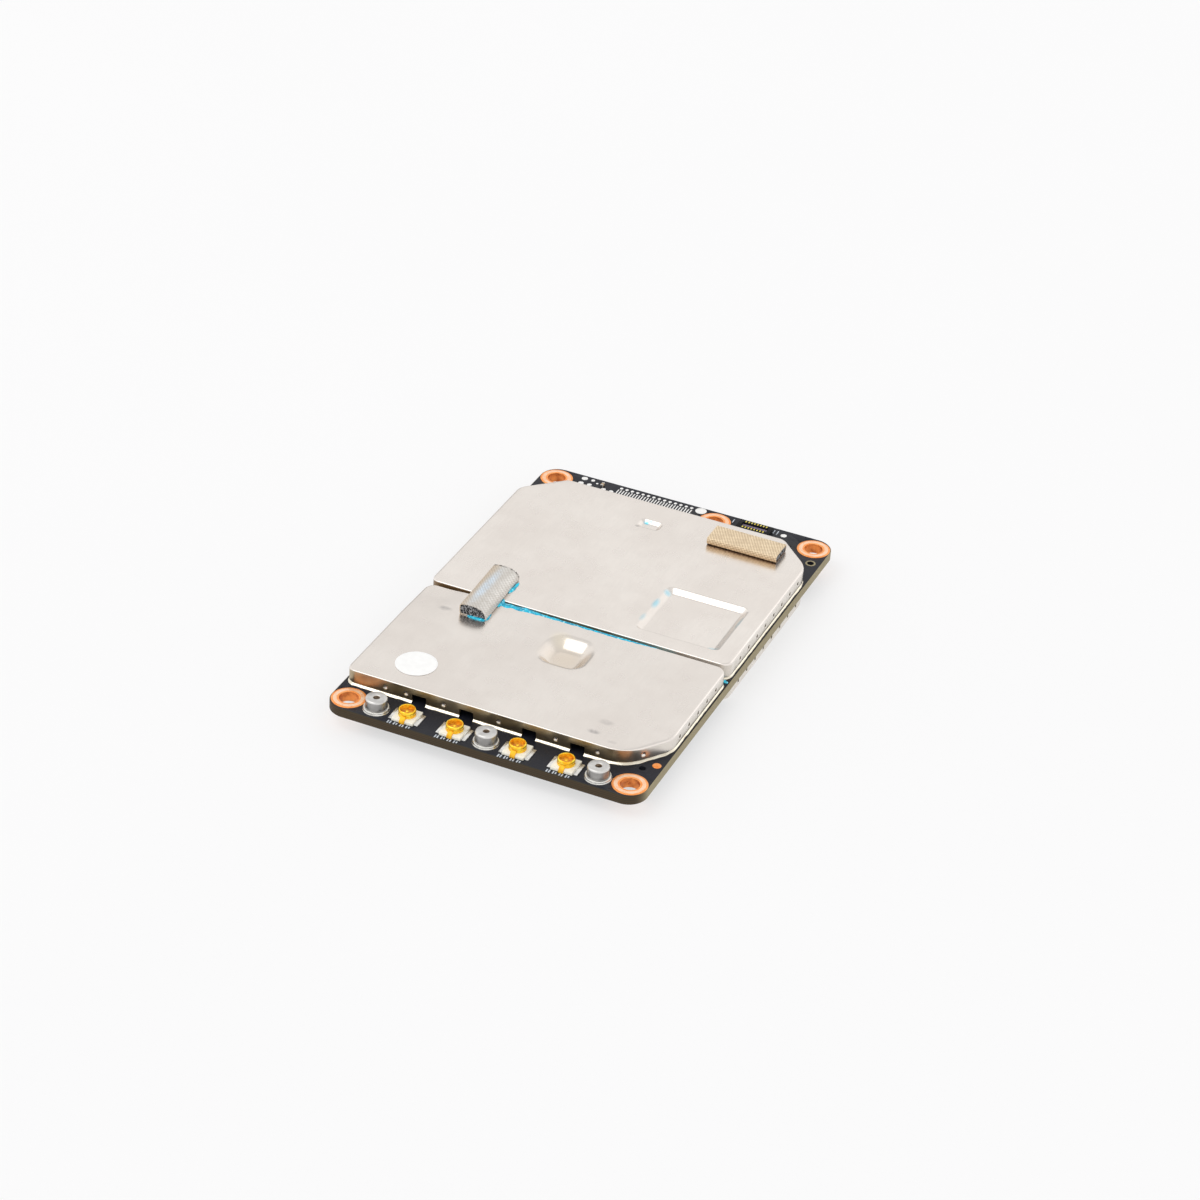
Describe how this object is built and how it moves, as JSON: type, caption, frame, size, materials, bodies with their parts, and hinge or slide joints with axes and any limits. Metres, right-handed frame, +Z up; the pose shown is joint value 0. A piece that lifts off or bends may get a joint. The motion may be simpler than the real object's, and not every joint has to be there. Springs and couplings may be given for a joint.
{
  "type": "software defined radio module",
  "caption": "Slim circuit module with shielded radio and processor halves, micro coax sockets, threaded standoffs, conductive gaskets and a board connector.",
  "frame": {"origin": "centre of the board's outline, on the plane of the underside lids that the module rests on", "axes": "+X along the antenna edge to the right, +Y from the antenna edge to the connector edge, +Z up through the board"},
  "size_m": [0.0382, 0.0592, 0.0064],
  "materials": {
    "board": "dark solder mask over glass laminate",
    "copper": "bare satin copper",
    "tinned_pad": "bright tin",
    "frame_metal": "tinned, with a solder fillet",
    "lid_metal": "semi-gloss nickel silver sheet",
    "socket_moulding": "cream moulding",
    "gold_plate": "gold plate",
    "standoff_metal": "satin tin plate",
    "gasket_foam": "open cell foam",
    "seam_gasket_fabric": "satin metallised weave",
    "rear_gasket_fabric": "metallised plain weave",
    "thermal_gel": "soft blue paste",
    "label": "smooth white",
    "connector_moulding": "black moulding",
    "chip_moulding": "moulded package",
    "chip_ceramic": "sintered chip part"
  },
  "bodies": {
    "root": {"circuit_board": "board", "mounting_lands": "copper", "copper_fiducial": "copper", "test_pads": "tinned_pad", "edge_pads": "tinned_pad", "front_shield_frame": "frame_metal", "front_shield_lid": "lid_metal", "rear_shield_frame": "frame_metal", "rear_shield_lid": "lid_metal", "under_rear_frame": "frame_metal", "under_rear_lid": "lid_metal", "under_front_frame": "frame_metal", "under_front_lid": "lid_metal", "antenna_socket_1_housing": "socket_moulding", "antenna_socket_2_housing": "socket_moulding", "antenna_socket_3_housing": "socket_moulding", "antenna_socket_4_housing": "socket_moulding", "antenna_socket_1_shell": "gold_plate", "antenna_socket_2_shell": "gold_plate", "antenna_socket_3_shell": "gold_plate", "antenna_socket_4_shell": "gold_plate", "antenna_socket_1_pin": "gold_plate", "antenna_socket_2_pin": "gold_plate", "antenna_socket_3_pin": "gold_plate", "antenna_socket_4_pin": "gold_plate", "standoff_1": "standoff_metal", "standoff_2": "standoff_metal", "standoff_3": "standoff_metal", "seam_gasket_foam": "gasket_foam", "seam_gasket_fabric": "seam_gasket_fabric", "rear_gasket_foam": "gasket_foam", "rear_gasket_fabric": "rear_gasket_fabric", "seam_gel": "thermal_gel", "round_label": "label", "connector_housing": "connector_moulding", "connector_contacts": "gold_plate", "strip_capacitor": "chip_ceramic", "baseband_processor": "chip_moulding", "processor_gel": "thermal_gel", "radio_transceiver": "chip_moulding", "transceiver_gel": "thermal_gel", "power_manager": "chip_moulding", "power_gel": "thermal_gel", "memory_chip": "chip_moulding", "flash_chip": "chip_moulding", "power_inductors": "chip_ceramic", "bulk_capacitors": "chip_ceramic", "reference_oscillator": "chip_ceramic", "rf_filters": "chip_ceramic", "matching_capacitors": "chip_ceramic", "rf_front_end_1": "chip_moulding", "rf_front_end_2": "chip_moulding", "rf_front_end_3": "chip_moulding", "rf_front_end_4": "chip_moulding"}
  },
  "joints": []
}
